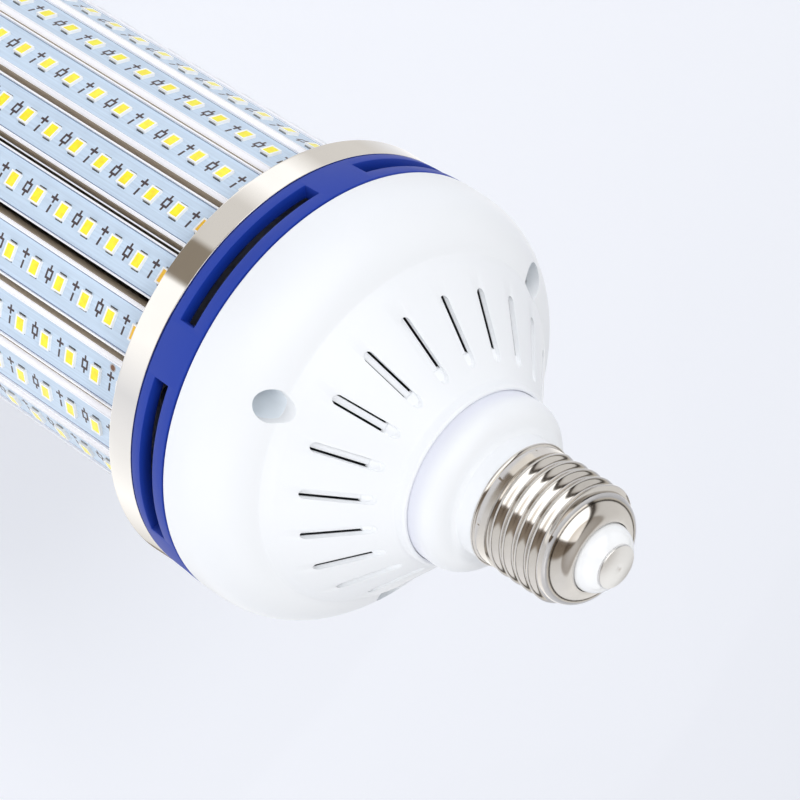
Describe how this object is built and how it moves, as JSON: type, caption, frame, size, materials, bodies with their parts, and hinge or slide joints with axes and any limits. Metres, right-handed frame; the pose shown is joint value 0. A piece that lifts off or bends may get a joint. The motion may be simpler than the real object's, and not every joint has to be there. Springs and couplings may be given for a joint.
{
  "type": "corn led bulb",
  "caption": "Corn-cob LED lamp: a column of light strips with a flat head, slotted ring, vented housing with a fan inside, and an Edison screw cap.",
  "frame": {"origin": "centre of the flat head face that the lamp stands on", "axes": "+Z along the lamp's axis towards the screw cap; the side turned to the viewer in the picture faces -Y, with one light strip square to -Y"},
  "size_m": [0.096, 0.096, 0.26],
  "materials": {
    "white_bar": "white powder coat",
    "board_white": "white solder mask",
    "led_face": "satin silicone in a white frame",
    "band_mirror": "mirror polish",
    "plate_metal": "brushed",
    "steel": "satin",
    "ring_blue": "satin",
    "housing_white": "satin gloss",
    "fan_black": "satin",
    "board_green": "satin solder mask",
    "core_dark": "matt",
    "can_dark": "satin sleeve",
    "lead_red": "satin",
    "cap_metal": "bright nickel plate",
    "insulator_white": "glossy",
    "contact_metal": "bright nickel plate"
  },
  "bodies": {
    "lamp": {"heat_sink_bar_01": "white_bar", "heat_sink_bar_02": "white_bar", "heat_sink_bar_03": "white_bar", "heat_sink_bar_04": "white_bar", "heat_sink_bar_05": "white_bar", "heat_sink_bar_06": "white_bar", "heat_sink_bar_07": "white_bar", "heat_sink_bar_08": "white_bar", "heat_sink_bar_09": "white_bar", "heat_sink_bar_10": "white_bar", "heat_sink_bar_11": "white_bar", "heat_sink_bar_12": "white_bar", "heat_sink_bar_13": "white_bar", "heat_sink_bar_14": "white_bar", "heat_sink_bar_15": "white_bar", "heat_sink_bar_16": "white_bar", "heat_sink_bar_17": "white_bar", "heat_sink_bar_18": "white_bar", "heat_sink_bar_19": "white_bar", "heat_sink_bar_20": "white_bar", "led_board_01": "board_white", "led_board_02": "board_white", "led_board_03": "board_white", "led_board_04": "board_white", "led_board_05": "board_white", "led_board_06": "board_white", "led_board_07": "board_white", "led_board_08": "board_white", "led_board_09": "board_white", "led_board_10": "board_white", "led_board_11": "board_white", "led_board_12": "board_white", "led_board_13": "board_white", "led_board_14": "board_white", "led_board_15": "board_white", "led_board_16": "board_white", "led_board_17": "board_white", "led_board_18": "board_white", "led_board_19": "board_white", "led_board_20": "board_white", "led_packages": "led_face", "head_trim_band": "band_mirror", "base_trim_band": "band_mirror", "head_plate": "plate_metal", "base_plate": "plate_metal", "plate_screws": "steel", "vent_ring": "ring_blue", "housing": "housing_white", "housing_screws": "steel", "fan_frame": "fan_black", "fan_screws": "steel", "driver_board": "board_green", "transformer": "core_dark", "filter_capacitor": "can_dark", "supply_leads": "lead_red", "cap_collar": "housing_white", "screw_shell": "cap_metal", "cap_insulator": "insulator_white", "centre_contact": "contact_metal"},
    "fan_wheel": {"fan_impeller": "fan_black"}
  },
  "joints": [
    {"name": "fan_spin", "type": "hinge", "parent": "lamp", "child": "fan_wheel", "pos_m": [0, 0, 0.1818], "axis": [0, 0, 1], "continuous": true}
  ]
}
